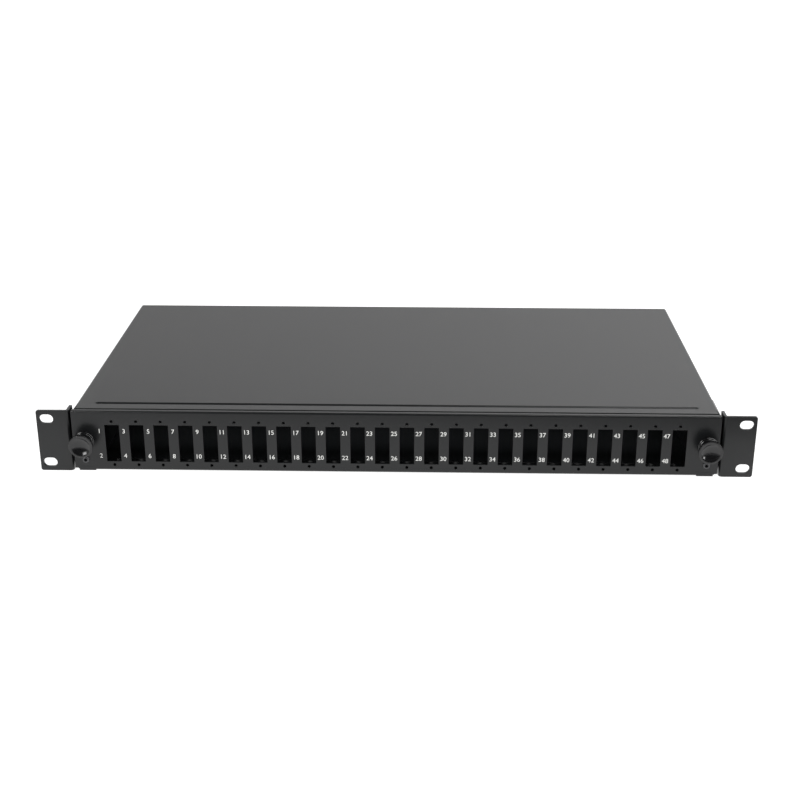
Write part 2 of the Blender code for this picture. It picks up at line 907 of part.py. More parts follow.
def make_cassette():
    """Moulded splice cassette: a rimmed tray with two winding hubs and openings for the fibres in its rim."""
    outer = rounded_rectangle(cassette_width, cassette_depth, cassette_corner)
    inside = rounded_rectangle(
        cassette_width - 2 * cassette_wall, cassette_depth - 2 * cassette_wall, cassette_corner - cassette_wall
    )
    shape = prism(outer, "Z", 0, cassette_height)
    shape = cut(shape, prism(inside, "Z", cassette_bottom, cassette_height + LONG))
    low = cassette_bottom / 2
    high = cassette_height - cassette_bottom / 2
    bore = hub_radius - cassette_wall
    for side in (-1, 1):
        hub = turned([(hub_radius, low), (hub_radius, high), (bore, high), (bore, low)], 24, ring=True)
        bmesh.ops.translate(hub, vec=(side * (cassette_width / 2 - hub_inset), 0, 0), verts=hub.verts)
        shape = joined(shape, hub)
    across = comb_width / 2 + comb_clearance
    along = comb_depth / 2 + comb_clearance
    middle = block((-across, across), (-along, along), (cassette_bottom, cassette_height + LONG))
    gate = cassette_width / 2 - cassette_corner - gate_inset
    gates = [
        block(
            (side * gate - gate_width / 2, side * gate + gate_width / 2),
            (-cassette_depth, -cassette_depth / 2 + 2 * cassette_wall),
            (1.5 * cassette_bottom, cassette_height + LONG),
        )
        for side in (-1, 1)
    ]
    stud_hole = rod(stud_radius + running_gap, (0, stud_setback, -LONG), (0, stud_setback, LONG))
    return cut(shape, middle, stud_hole, *gates)


def make_comb():
    """Block of splice holders, slotted from above along Y."""
    shape = block((-comb_width / 2, comb_width / 2), (-comb_depth / 2, comb_depth / 2), (0, comb_height))
    pitch = comb_width / comb_slots
    slots = []
    for number in range(comb_slots):
        x = -comb_width / 2 + pitch * (2 * number + 1) / 2
        across = (x - pitch * 0.3, x + pitch * 0.3)
        slots.append(block(across, (-comb_depth, comb_depth), (comb_base, comb_height + LONG)))
    return cut(shape, *slots)


def make_lid():
    """Lid of the upper cassette, a flat plate with a lip that drops inside the rim."""
    inset = cassette_wall + running_gap
    plate = prism(rounded_rectangle(cassette_width, cassette_depth, cassette_corner), "Z", 0, lid_height)
    lip = prism(
        rounded_rectangle(
            cassette_width - 2 * inset, cassette_depth - 2 * inset, cassette_corner - inset
        ),
        "Z",
        -lid_lip,
        lid_height / 2,
    )
    shape = joined(plate, lip)
    return cut(shape, rod(stud_radius + running_gap, (0, stud_setback, -LONG), (0, stud_setback, LONG)))


def make_cassettes(body):
    step = cassette_height + seat_gap
    floor = cassette_bottom + seat_gap
    mesh = comb = None
    for level, name in enumerate(("lower", "upper")):
        z = cassette_floor + level * step
        place = (0, cassette_middle, z)
        thing = add_object(
            f"splice_cassette_{name}", mesh or make_cassette(), cassette_plastic(), body, place
        )
        place = (0, cassette_middle, z + floor)
        holder = add_object(f"splice_comb_{name}", comb or make_comb(), black_rubber(), body, place)
        mesh, comb = thing.data, holder.data
    lid_bottom = cassette_floor + 2 * step
    add_object("cassette_lid", make_lid(), cassette_plastic(), body, (0, cassette_middle, lid_bottom))
    stud_y = cassette_middle + stud_setback
    top = lid_bottom + lid_height + seat_gap
    shaft = [(0, floor_top + seat_gap), (stud_radius, floor_top + seat_gap)]
    shaft += [(stud_radius, top + stud_grip), (0, top + stud_grip)]
    add_object("cassette_stud", turned(shaft, 16), zinc_plate(), body, (0, stud_y, 0))
    bore = stud_radius + seat_gap
    nut = [(bore, 0), (nut_flange, 0), (nut_flange, stud_grip * 0.55), (nut_knob, stud_grip * 0.7)]
    nut += [(nut_knob, stud_grip), (bore, stud_grip)]
    add_object("cassette_nut", turned(nut, 20, ring=True), black_nylon(), body, (0, stud_y, top))


def make_guide():
    """Bend-radius guide: a curved wall on a foot, with a lip that keeps the fibres down."""
    inner, outer = guide_radius - guide_flange, guide_radius + guide_flange
    wall = guide_radius + guide_wall
    lip = guide_height - guide_foot
    profile = [(inner, 0), (outer, 0), (outer, guide_foot), (wall, guide_foot), (wall, lip), (outer, lip)]
    profile += [(outer, guide_height), (guide_radius, guide_height)]
    profile += [(guide_radius, guide_foot), (inner, guide_foot)]
    shape = bmesh.new()
    face = shape.faces.new([shape.verts.new((radius, 0, height)) for radius, height in profile])
    bmesh.ops.spin(shape, geom=[face], cent=(0, 0, 0), axis=(0, 0, 1), angle=guide_arc, steps=8)
    bmesh.ops.remove_doubles(shape, verts=shape.verts, dist=1e-7)
    bmesh.ops.recalc_face_normals(shape, faces=shape.faces)
    return shape


def make_guides(body):
    mesh = None
    reach = cassette_depth / 2 - guide_radius
    for side, hand in ((-1, "left"), (1, "right")):
        for end, where in ((-1, "front"), (1, "rear")):
            heading = math.atan2(end, side)
            thing = add_object(
                f"fibre_guide_{hand}_{where}",
                mesh or make_guide(),
                black_nylon(),
                body,
                (side * guide_x, cassette_middle + end * reach, cassette_floor),
                (0, 0, heading - guide_arc / 2),
            )
            mesh = thing.data


def make_anchors(body):
    """Bridges on the drawer floor that a cable tie passes under, one in front of each notch."""
    mesh = None
    for side, hand in ((-1, "left"), (1, "right")):
        shape = mesh
        if mesh is None:
            bridge = folded(
                [
                    (-anchor_width / 2, 0),
                    (-anchor_width / 2, anchor_height),
                    (anchor_width / 2, anchor_height),
                    (anchor_width / 2, 0),
                ][::-1],
                anchor_leg,
                anchor_bend_inside,
            )
            shape = prism(bridge, "Y", -anchor_depth / 2, anchor_depth / 2)
        x = side * (entry_outer + entry_inner) / 2
        y = tab_front + tray_depth - anchor_setback
        thing = add_object(f"tube_anchor_{hand}", shape, black_nylon(), body, (x, y, cassette_floor))
        mesh = thing.data


def hexagon(flats):
    radius = flats / math.sqrt(3)
    return [(radius * math.cos(a), radius * math.sin(a)) for a in (math.pi / 3 * k for k in range(6))]


def make_glands(body):
    """Cable glands: body through the wall, lock nut inside, rubber seal and domed cap, along local Z."""
    collar = thread_radius + gland_collar_wall
    bodies = {}
    for side, hand in ((-1, "left"), (1, "right")):
        place = (side * entry_outer, wall_back + seat_gap, entry_height)
        if not bodies:
            tube = turned(
                [
                    (gland_bore, -gland_inside),
                    (thread_radius, -gland_inside),
                    (thread_radius, gland_hex / 2),
                    (collar, gland_hex / 2),
                    (collar, gland_collar),
                    (gland_bore, gland_collar),
                ],
                24,
                ring=True,
            )
            collar_hex = prism(hexagon(gland_flats), "Z", 0, gland_hex)
            collar_hex = cut(collar_hex, rod(thread_radius - OVERLAP, (0, 0, -LONG), (0, 0, LONG)))
            bodies["gland_body"] = joined(tube, collar_hex)
            nut_high = -sheet - 2 * seat_gap
            nut = prism(hexagon(gland_flats), "Z", nut_high - locknut_height, nut_high)
            bodies["gland_locknut"] = cut(nut, rod(thread_radius + seat_gap, (0, 0, -LONG), (0, 0, LONG)))
            cavity = collar + running_gap
            wide = cavity + gland_cap_wall
            start = gland_hex + running_gap
            deep = gland_mouth_depth
            cap = [(cavity, start), (wide, start), (wide, gland_reach - 2 * deep)]
            cap += [(wide * 0.93, gland_reach - deep), (wide * 0.76, gland_reach - deep / 4)]
            cap += [(wide * 0.62, gland_reach), (gland_mouth, gland_reach), (gland_mouth, gland_reach - deep)]
            cap += [(cavity, gland_reach - 1.5 * deep)]
            bodies["gland_cap"] = turned(cap, 20, ring=True)
            outer = gland_mouth - running_gap
            seal = [(cable_radius, seal_start), (outer, seal_start), (outer, gland_reach - seal_setback)]
            seal += [(cable_radius, gland_reach - seal_setback)]
            bodies["gland_seal"] = turned(seal, 20, ring=True)
        for piece, shape in list(bodies.items()):
            finish = black_rubber() if piece == "gland_seal" else black_nylon()
            thing = add_object(f"{piece}_{hand}", shape, finish, body, place, OUT_BACK)
            bodies[piece] = thing.data


def make_plugs(body):
    """Rubber plugs in the cable entries that carry no gland."""
    neck = entry_radius - running_gap
    edge = entry_radius + plug_edge
    inner = -sheet - 2 * seat_gap
    profile = [(0, plug_height), (edge * 0.8, plug_height * 0.9), (edge, plug_height / 2), (edge, 0)]
    profile += [(neck, 0), (neck, inner), (entry_radius + plug_lip, inner)]
    profile += [(entry_radius - plug_lip, inner - plug_nose), (0, inner - plug_nose)]
    mesh = None
    for side, hand in ((-1, "left"), (1, "right")):
        place = (side * entry_inner, wall_back + seat_gap, entry_height)
        shape = mesh or turned(profile, 20)
        thing = add_object(f"entry_plug_{hand}", shape, black_rubber(), body, place, OUT_BACK)
        mesh = thing.data


clear_scene()
case = add_body("case")
drawer = add_body("drawer")
make_case(case)
make_cover(case)
make_ear(case, -1, "ear_left")
make_ear(case, 1, "ear_right")
make_screws(case)
make_outer_rail(case, -1, "outer_rail_left")
make_outer_rail(case, 1, "outer_rail_right")
make_glands(case)
make_plugs(case)
make_ball_cage(-1, "ball_cage_left")
make_ball_cage(1, "ball_cage_right")
make_front_panel(drawer)
make_tray(drawer)
make_inner_rail(drawer, -1, "inner_rail_left")
make_inner_rail(drawer, 1, "inner_rail_right")
make_latches(drawer)
make_cassettes(drawer)
make_guides(drawer)
make_anchors(drawer)
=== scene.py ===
"""Sliding fibre patch panel for a 19 inch rack, in black powder coat, on a white studio floor."""

import math

import bmesh
import bpy
from mathutils import Matrix, Vector


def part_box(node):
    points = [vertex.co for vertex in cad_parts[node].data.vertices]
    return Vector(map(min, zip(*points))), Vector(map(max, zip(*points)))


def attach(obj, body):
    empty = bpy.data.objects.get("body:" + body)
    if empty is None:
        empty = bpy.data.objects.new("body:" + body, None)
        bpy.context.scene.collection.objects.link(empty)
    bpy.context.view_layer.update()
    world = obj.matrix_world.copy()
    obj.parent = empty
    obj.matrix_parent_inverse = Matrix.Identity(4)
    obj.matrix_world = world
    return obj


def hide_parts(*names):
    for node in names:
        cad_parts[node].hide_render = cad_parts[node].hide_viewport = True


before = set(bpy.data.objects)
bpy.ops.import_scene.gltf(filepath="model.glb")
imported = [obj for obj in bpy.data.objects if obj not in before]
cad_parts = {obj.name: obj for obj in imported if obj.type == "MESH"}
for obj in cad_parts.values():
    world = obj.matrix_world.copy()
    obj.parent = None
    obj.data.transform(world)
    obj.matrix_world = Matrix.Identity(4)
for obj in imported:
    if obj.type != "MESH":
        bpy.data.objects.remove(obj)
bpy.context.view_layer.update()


# Studio: a white acrylic light table, lit from below so that no shadow shows on it, runs up into a
# paper backdrop. A soft box washes the backdrop, one stands at each side and a long one hangs over
# the front. Black cloth hangs behind the camera.


def linear(hex_colour):
    """An sRGB hex colour as linear red, green, blue and alpha."""
    channels = [int(hex_colour[at : at + 2], 16) / 255 for at in (1, 3, 5)]
    return [c / 12.92 if c <= 0.04045 else ((c + 0.055) / 1.055) ** 2.4 for c in channels] + [1.0]


def add_node(material, kind, settings=(), links=()):
    """Adds a shader node. Settings name its properties or its sockets; links are (socket, source)."""
    tree = material.node_tree
    made = tree.nodes.new(kind)
    for name, value in dict(settings).items():
        if name in made.inputs:
            made.inputs[name].default_value = value
        else:
            setattr(made, name, value)
    for name, source in links:
        tree.links.new(source, made.inputs[name])
    return made


def new_material(name, colour, roughness, metallic=0.0, **sockets):
    """A material with its Principled shader, whose fixed values are set on its own sockets."""
    material = bpy.data.materials.new(name)
    material.use_nodes = True
    shader = material.node_tree.nodes["Principled BSDF"]
    shader.inputs["Base Color"].default_value = linear(colour)
    shader.inputs["Roughness"].default_value = roughness
    shader.inputs["Metallic"].default_value = metallic
    for socket, value in sockets.items():
        shader.inputs[socket.replace("_", " ")].default_value = value
    return material, shader


def link_object(name, mesh):
    made = bpy.data.objects.new(name, mesh)
    bpy.context.scene.collection.objects.link(made)
    return made


def curved_screen(name, path, half_width, material):
    """A stage screen that is straight along X and follows a path of (y, z) points."""
    screen = bmesh.new()
    verts = [screen.verts.new((-half_width, y, z)) for y, z in path]
    edges = [screen.edges.new(pair) for pair in zip(verts, verts[1:])]
    widened = bmesh.ops.extrude_edge_only(screen, edges=edges)
    far_verts = [item for item in widened["geom"] if isinstance(item, bmesh.types.BMVert)]
    bmesh.ops.translate(screen, vec=(2 * half_width, 0, 0), verts=far_verts)
    bmesh.ops.recalc_face_normals(screen, faces=screen.faces)
    mesh = bpy.data.meshes.new(name)
    screen.to_mesh(mesh)
    screen.free()
    mesh.shade_smooth()
    mesh.materials.append(material)
    made = link_object(name, mesh)
    return made


# Acrylic glows from below: an even white low down that fades up the cove into plain paper.
glow_strength = 0.92
glow_top = 0.1
glow_end = 0.35
paper_height = 1.0
light_table, table_shader = new_material("backlit_white_acrylic", "#909090", 0.9)
table_shader.inputs["Emission Color"].default_value = linear("#ffffff")
table_place = add_node(light_table, "ShaderNodeTexCoord")
table_height = add_node(
    light_table, "ShaderNodeSeparateXYZ", links=[("Vector", table_place.outputs["Object"])]
)
table_glow = add_node(
    light_table,
    "ShaderNodeMapRange",
    {"From Min": glow_top, "From Max": glow_end, "To Min": glow_strength, "To Max": 0.0},
    [("Value", table_height.outputs["Z"])],
)
paper_tint = add_node(light_table, "ShaderNodeValToRGB", links=[("Fac", table_height.outputs["Z"])])
paper_tint.color_ramp.elements[0].position = glow_top
paper_tint.color_ramp.elements[0].color = linear("#909090")
paper_tint.color_ramp.elements[1].position = paper_height
paper_tint.color_ramp.elements[1].color = linear("#f0f0f0")
light_table.node_tree.links.new(table_glow.outputs["Result"], table_shader.inputs["Emission Strength"])
light_table.node_tree.links.new(paper_tint.outputs["Color"], table_shader.inputs["Base Color"])

table_reach = 8.0
cove_start = 1.2
cove_radius = 1.2
cove_steps = 15
paper_top = 4.0
sweep_path = [(-table_reach, 0)]
for step in range(cove_steps + 1):
    angle = math.radians(90 * step / cove_steps)
    cove_y = cove_start + cove_radius * math.sin(angle)
    sweep_path.append((cove_y, cove_radius - cove_radius * math.cos(angle)))
sweep_path.append((cove_start + cove_radius, paper_top))
curved_screen("light_table_and_backdrop", sweep_path, table_reach, light_table)


def add_soft_box(name, power, width, height, place, aim, along=(1, 0, 0)):
    """A soft box that points from its place at its aim, with its width along a direction."""
    light = bpy.data.lights.new(name, "AREA")
    light.shape = "RECTANGLE"
    light.size = width
    light.size_y = height
    light.energy = power
    box = link_object(name, light)
    box.location = place
    back = (Vector(place) - Vector(aim)).normalized()
    upright = back.cross(Vector(along)).normalized()
    turn = Matrix((upright.cross(back), upright, back)).transposed()
    box.rotation_euler = turn.to_euler()
    return box


add_soft_box("backdrop_soft_box", 36, 1.8, 1.0, (1.3, 0.9, 2.4), (1.3, 2.3, 1.45))
add_soft_box("left_soft_box", 10, 0.55, 0.65, (-1.0, -0.77, 0.67), (0, -0.1, 0))
add_soft_box("right_soft_box", 1.8, 0.24, 0.24, (1.25, -0.70, 0.24), (0, -0.1, 0))
add_soft_box("overhead_strip_box", 10, 1.8, 0.30, (0.85, -0.38, 0.9), (0, -0.1, 0), (1.5, 0.4, -0.95))

# A dim strip inside the case stands for the glare of the white table, which greys the openings.
glare = add_soft_box("glare_strip", 0.12, 0.38, 0.01, (0, -0.085, 0.036), (0, 0.05, 0.0))
glare.visible_glossy = False
glare.visible_camera = False

# Only gloss sees the flags. A grey card lies on the table close in front, and darkens the top of the
# panel and the dishes' middles; black cloth stands behind it and hangs over the set.
flag_half_width = 4.0
flag_turn = math.radians(5)
for name, hex_colour, path in (
    ("grey_card", "#8c8c8c", [(-0.212, 0.002), (-2.2, 0.02)]),
    ("black_flag", "#141414", [(-2.2, 0.02), (-2.2, 2.0), (-1.2, 2.8), (0.4, 2.9)]),
):
    flag_cloth, _ = new_material(f"matt_cloth_of_{name}", hex_colour, 1.0)
    flag = curved_screen(name, path, flag_half_width, flag_cloth)
    flag.rotation_euler.z = flag_turn
    flag.visible_camera = False
    flag.visible_diffuse = False
    flag.visible_shadow = False
    flag.visible_transmission = False

# The room lights the set at half the strength that the camera sees behind it.
room = bpy.data.worlds.new("white_room")
room.use_nodes = True
room.node_tree.nodes["Background"].inputs["Color"].default_value = linear("#ffffff")
room_view = add_node(room, "ShaderNodeLightPath")
room_level = add_node(
    room,
    "ShaderNodeMapRange",
    {"To Min": 0.5, "To Max": 1.0},
    [("Value", room_view.outputs["Is Camera Ray"])],
)
room.node_tree.links.new(
    room_level.outputs["Result"], room.node_tree.nodes["Background"].inputs["Strength"]
)
bpy.context.scene.world = room
bpy.context.scene.view_settings.view_transform = "Standard"

# The camera stands where the photographer stood.
lens = bpy.data.cameras.new("camera")
lens.sensor_width = 36.0
lens.lens = 59.84
lens.clip_start = 0.01
camera = link_object("camera", lens)
camera.location = (0.0237, -0.93798, 0.38403)
camera.rotation_euler = [math.radians(angle) for angle in (68.051, 0.0146, 1.3949)]
bpy.context.scene.camera = camera


# Case, ears, cover, front panel and drawer tray: cold-rolled steel sheet, laser cut and folded,
# then powder coated black. The coat rounds their longer cut edges to a small radius.

coat_edge = 0.00018
weld_distance = 2e-6
flat_angle = math.radians(0.5)
cut_edge_angle = math.radians(38)
shortest_cut_in_radii = 3


def merged_copy(node):
    """The node's triangles as one merged mesh of flat faces."""
    shape = bmesh.new()
    shape.from_mesh(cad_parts[node].data)
    bmesh.ops.remove_doubles(shape, verts=shape.verts, dist=weld_distance)
    bmesh.ops.dissolve_limit(shape, angle_limit=flat_angle, verts=shape.verts, edges=shape.edges)
    return shape


def add_piece(name, shape, material, body, stands_for=(), smooth_below=35):
    """Makes the object, which rides on its body and takes the place of its CAD nodes."""
    mesh = bpy.data.meshes.new(name)
    shape.to_mesh(mesh)
    shape.free()
    mesh.shade_smooth()
    if smooth_below:
        mesh.set_sharp_from_angle(angle=math.radians(smooth_below))
    mesh.materials.append(material)
    piece = link_object(name, mesh)
    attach(piece, body)
    if stands_for:
        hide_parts(*stands_for)
    return piece


def soften_edges(piece, radius):
    """Rounds the cut edges that are long enough, and keeps the flat faces flat in the light."""
    shape = bmesh.new()
    shape.from_mesh(piece.data)
    softness = shape.edges.layers.float.new("bevel_weight_edge")
    for edge in shape.edges:
        sharp = edge.is_manifold and edge.calc_face_angle() > cut_edge_angle
        long_enough = edge.calc_length() > shortest_cut_in_radii * radius
        edge[softness] = 1.0 if sharp and long_enough else 0.0
    shape.to_mesh(piece.data)
    shape.free()
    bevel = piece.modifiers.new("soft_edges", "BEVEL")
    bevel.width = radius
    bevel.segments = 2
    bevel.limit_method = "WEIGHT"
    bevel.use_clamp_overlap = False
    normals = piece.modifiers.new("flat_faces", "WEIGHTED_NORMAL")
    normals.weight = 100
    normals.keep_sharp = False


# Powder coat: a deep, even black with a soft sheen, over an orange peel about a millimetre across.
powder_coat, coat_shader = new_material("black_powder_coated_steel", "#131415", 0.3, IOR=1.45)
coat_place = add_node(powder_coat, "ShaderNodeTexCoord")
orange_peel = add_node(
    powder_coat,
    "ShaderNodeTexNoise",
    {"Scale": 1 / 0.0009, "Detail": 2.0},
    [("Vector", coat_place.outputs["Object"])],
)
coat_bump = add_node(
    powder_coat,
    "ShaderNodeBump",
    {"Strength": 0.06, "Distance": 0.0001},
    [("Height", orange_peel.outputs["Fac"])],
)
powder_coat.node_tree.links.new(coat_bump.outputs["Normal"], coat_shader.inputs["Normal"])

sheet_pieces = {
    "case_tray": "case",
    "top_cover": "case",
    "ear_left": "case",
    "ear_right": "case",
    "front_panel": "drawer",
    "drawer_tray": "drawer",
}
for node, body in sheet_pieces.items():
    shape = merged_copy(node)
    piece = add_piece(
        f"coated_{node}", shape, powder_coat, body, [node], smooth_below=0
    )
    soften_edges(piece, coat_edge)


# Port numbers: white screen-printed ink, odd numbers beside the top of each window and even
# numbers beside the bottom. Each port pair shares a window.

# Screen ink dries to a flat, faintly warm white.
print_ink, _ = new_material("white_screen_print_ink", "#d9d9d6", 0.5)

port_count = 48
window_count = port_count // 2
window_pitch = 0.01658
digit_height = 0.0031
digit_share_of_font_size = 0.7
ink_spread = 0.00002
ink_thickness = 0.00004
number_offset = 0.0086
odd_rise = 0.0295
even_rise = 0.0114
panel_low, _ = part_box("front_panel")
numbers = bmesh.new()
for port in range(port_count):
    text = bpy.data.curves.new("port_number", "FONT")
    text.body = str(port + 1)
    text.size = digit_height / digit_share_of_font_size
    text.align_x = "CENTER"
    text.offset = ink_spread
    text.resolution_u = 3
    holder = link_object("port_number", text)
    bpy.context.view_layer.update()
    glyphs = bpy.data.meshes.new_from_object(holder)
    centre = (port // 2 - (window_count - 1) / 2) * window_pitch
    rise = odd_rise if port % 2 == 0 else even_rise
    place = (centre - number_offset, panel_low.y - ink_thickness, rise - digit_height / 2)
    glyphs.transform(Matrix.Translation(place) @ Matrix.Rotation(math.pi / 2, 4, "X"))
    numbers.from_mesh(glyphs)
    bpy.data.objects.remove(holder)
    bpy.data.curves.remove(text)
    bpy.data.meshes.remove(glyphs)
add_piece("port_numbers", numbers, print_ink, "drawer", smooth_below=0)


# Push-pull latches, plungers: black nylon, moulded in one shot with a polished, dished knob. The
# collar behind the knob stops on the grommet, and the pin behind it spreads the grommet's nose.

seam_gap = 1e-6
corner_share = 0.45


def turned(profile, place, steps=96, facing=-1, ring=False):
    """A lathe shape about an axis along Y, from (radius, reach) points. Facing -1 reaches forward."""
    x, y, z = place
    shape = bmesh.new()
    verts = [shape.verts.new((x + radius, y + facing * reach, z)) for radius, reach in profile]
    pairs = zip(verts, verts[1:] + verts[:1] if ring else verts[1:])
    edges = [shape.edges.new(pair) for pair in pairs]
    bmesh.ops.spin(
        shape,
        geom=verts + edges,
        cent=place,
        axis=(0, 1, 0),
        angle=math.tau,
        steps=steps,
        use_merge=True,
    )
    bmesh.ops.remove_doubles(shape, verts=shape.verts, dist=seam_gap)
    bmesh.ops.recalc_face_normals(shape, faces=shape.faces)
    return shape


def round_corners(profile, radius, steps=4, ring=False):
    """The profile with its inner corners rounded. A corner keeps clear of its neighbours."""
    points = [Vector(point) for point in profile]
    count = len(points)
    rounded = []
    for at, corner in enumerate(points):
        if not ring and at in (0, count - 1):
            rounded.append(tuple(corner))
            continue
        back, on = points[at - 1] - corner, points[(at + 1) % count] - corner
        reach = min(radius, back.length * corner_share, on.length * corner_share)
        start, end = corner + back.normalized() * reach, corner + on.normalized() * reach
        for step in range(steps + 1):
            share = step / steps
            rounded.append(tuple(start.lerp(corner, share).lerp(corner.lerp(end, share), share)))
    return rounded


# Moulded nylon, polished on the knob: nearly black, with a clear but soft gloss.
latch_nylon, nylon_shader = new_material("polished_black_nylon", "#111112", 0.16, IOR=1.53)
nylon_place = add_node(latch_nylon, "ShaderNodeTexCoord")
nylon_flow = add_node(
    latch_nylon,
    "ShaderNodeTexNoise",
    {"Scale": 1 / 0.0025, "Detail": 3.0},
    [("Vector", nylon_place.outputs["Object"])],
)
nylon_gloss = add_node(
    latch_nylon,
    "ShaderNodeMapRange",
    {"To Min": 0.13, "To Max": 0.20},
    [("Value", nylon_flow.outputs["Fac"])],
)
nylon_bump = add_node(
    latch_nylon,
    "ShaderNodeBump",
    {"Strength": 0.05, "Distance": 0.0002},
    [("Height", nylon_flow.outputs["Fac"])],
)
latch_nylon.node_tree.links.new(nylon_gloss.outputs["Result"], nylon_shader.inputs["Roughness"])
latch_nylon.node_tree.links.new(nylon_bump.outputs["Normal"], nylon_shader.inputs["Normal"])

knob_radius = 0.0081
knob_rim = 0.0017
knob_wall = 0.0008
knob_reach = 0.0105
dish_depth = 0.0022
dish_opening = math.radians(38)
dish_steps = 16
knob_skirt = 0.0024
knob_softness = 0.00035
neck_radius = 0.0046
collar_radius = 0.0068
collar_back = 0.0024
collar_front = 0.0037
collar_chamfer = 0.0006
pin_radius = 0.0014
pin_end = -0.0097
dish = []
for step in range(dish_steps + 1):
    angle = dish_opening * step / dish_steps
    rise = (1 - math.cos(angle)) / (1 - math.cos(dish_opening))
    out = (knob_radius - knob_rim) * math.sin(angle) / math.sin(dish_opening)
    dish.append((out, knob_reach - dish_depth * (1 - rise)))
neck_front = knob_reach - dish_depth - knob_wall
outside = [
    (knob_radius, knob_reach),
    (knob_radius, knob_reach - knob_skirt),
    (knob_radius - knob_wall, neck_front),
    (neck_radius, neck_front - knob_wall),
    (neck_radius, collar_front),
    (collar_radius - collar_chamfer, collar_front),
    (collar_radius, collar_front - collar_chamfer),
    (collar_radius, collar_back),
    (pin_radius, collar_back),
    (pin_radius, pin_end),
    (0, pin_end),
]
plunger_profile = dish + round_corners(dish[-1:] + outside, knob_softness)[1:]
for hand in ("left", "right"):
    node = f"latch_plunger_{hand}"
    body = f"latch_pull_{hand}"
    low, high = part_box(node)
    place = ((low.x + high.x) / 2, low.y + knob_reach, (low.z + high.z) / 2)
    shape = turned(plunger_profile, place)
    add_piece(f"knob_{hand}", shape, latch_nylon, body, [node], smooth_below=40)


# Push-pull latches, grommets: black nylon. A flange lies on the panel, a sleeve passes through it,
# and a nose behind it is slit in four, so that the pin can spread it in the case's keeper.


def carve(shape, cutter):
    """The shape with the cutter's volume taken out of it."""
    pair = []
    for part in (shape, cutter):
        mesh = bpy.data.meshes.new("carved")
        part.to_mesh(mesh)
        part.free()
        pair.append(link_object("carved", mesh))
    boolean = pair[0].modifiers.new("cut", "BOOLEAN")
    boolean.object = pair[1]
    boolean.solver = "EXACT"
    graph = bpy.context.evaluated_depsgraph_get()
    result = bmesh.new()
    result.from_mesh(pair[0].evaluated_get(graph).to_mesh())
    for used in pair:
        bpy.data.objects.remove(used, do_unlink=True)
    return result


def brick(low, high):
    """A box between two corners."""
    shape = bmesh.new()
    bmesh.ops.create_cube(shape, size=1.0)
    low, high = Vector(low), Vector(high)
    bmesh.ops.scale(shape, vec=high - low, verts=shape.verts)
    bmesh.ops.translate(shape, vec=(low + high) / 2, verts=shape.verts)
    return shape


flange_radius = 0.0070
flange_thickness = 0.0016
flange_chamfer = 0.0006
sleeve_radius = 0.0040
nose_radius = 0.0029
sleeve_end = -0.0028
slit_start = -0.0040
nose_end = -0.0085
grommet_bore = 0.00175
slit_half = 0.0004
grommet_softness = 0.0005
grommet_profile = round_corners(
    [
        (grommet_bore, flange_thickness),
        (flange_radius - flange_chamfer, flange_thickness),
        (flange_radius, flange_thickness - flange_chamfer),
        (flange_radius, 0),
        (sleeve_radius, 0),
        (sleeve_radius, sleeve_end),
        (nose_radius, sleeve_end),
        (nose_radius, nose_end),
        (grommet_bore, nose_end),
    ],
    grommet_softness,
    ring=True,
)
for hand in ("left", "right"):
    node = f"latch_grommet_{hand}"
    low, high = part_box(node)
    x, y, z = (low.x + high.x) / 2, low.y + flange_thickness, (low.z + high.z) / 2
    slit_front, slit_back = y - slit_start, y - nose_end + slit_half
    shape = turned(grommet_profile, (x, y, z), ring=True)
    for wide, tall in ((slit_half, sleeve_radius), (sleeve_radius, slit_half)):
        slit = brick((x - wide, slit_front, z - tall), (x + wide, slit_back, z + tall))
        shape = carve(shape, slit)
    add_piece(f"grommet_{hand}", shape, latch_nylon, "drawer", [node], smooth_below=40)


# Panel rivets: blind rivets of steel, coated black with the panel they hold to the drawer's cheek.
# The dome is a ring round the hole that its mandrel left.

# The coat is glossier on a small dome than on the sheet, over a stronger grain. Its colour is painted
# lighter than the sheet's coat, a painted sheen that makes the ring show against the panel.
rivet_coat_with_painted_sheen, rivet_shader = new_material("black_coated_rivet_with_painted_sheen", "#38383a", 0.22, IOR=1.5)
rivet_place = add_node(rivet_coat_with_painted_sheen, "ShaderNodeTexCoord")
rivet_grain = add_node(
    rivet_coat_with_painted_sheen,
    "ShaderNodeTexNoise",
    {"Scale": 1 / 0.0006, "Detail": 2.0},
    [("Vector", rivet_place.outputs["Object"])],
)
rivet_bump = add_node(
    rivet_coat_with_painted_sheen,
    "ShaderNodeBump",
    {"Strength": 0.2, "Distance": 0.0002},
    [("Height", rivet_grain.outputs["Fac"])],
)
rivet_coat_with_painted_sheen.node_tree.links.new(rivet_bump.outputs["Normal"], rivet_shader.inputs["Normal"])

rivet_head = 0.0025
rivet_dome = 0.0012
rivet_hole = 0.0012
rivet_lip = 0.0002
rivet_lip_height = 0.92 * rivet_dome
rivet_crest = rivet_hole + rivet_lip
rivet_floor = -0.0014
rivet_shank = 0.0016
rivet_bulb = 1.5 * rivet_shank
rivet_grip = -0.0030
rivet_tail = -0.0046
dome_steps = 8
rivet_profile = [(0, rivet_floor), (rivet_hole, rivet_floor), (rivet_hole, rivet_lip_height)]
for step in range(dome_steps + 1):
    angle = math.pi / 2 * step / dome_steps
    out = rivet_crest + (rivet_head - rivet_crest) * math.sin(angle)
    rivet_profile.append((out, rivet_dome * math.cos(angle)))
rivet_profile += [(rivet_shank, 0), (rivet_shank, rivet_grip), (rivet_bulb, rivet_grip)]
rivet_profile += [(rivet_bulb, rivet_tail), (0, rivet_tail)]
for hand in ("left", "right"):
    node = f"panel_rivet_{hand}"
    low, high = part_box(node)
    place = ((low.x + high.x) / 2, low.y + rivet_dome, (low.z + high.z) / 2)
    shape = turned(rivet_profile, place, steps=48)
    add_piece(f"rivet_{hand}", shape, rivet_coat_with_painted_sheen, "drawer", [node])


# Side screws: pan-head machine screws of zinc-plated steel with a cross recess. Three hold each
# ear to the case wall and two hold each side of the cover.


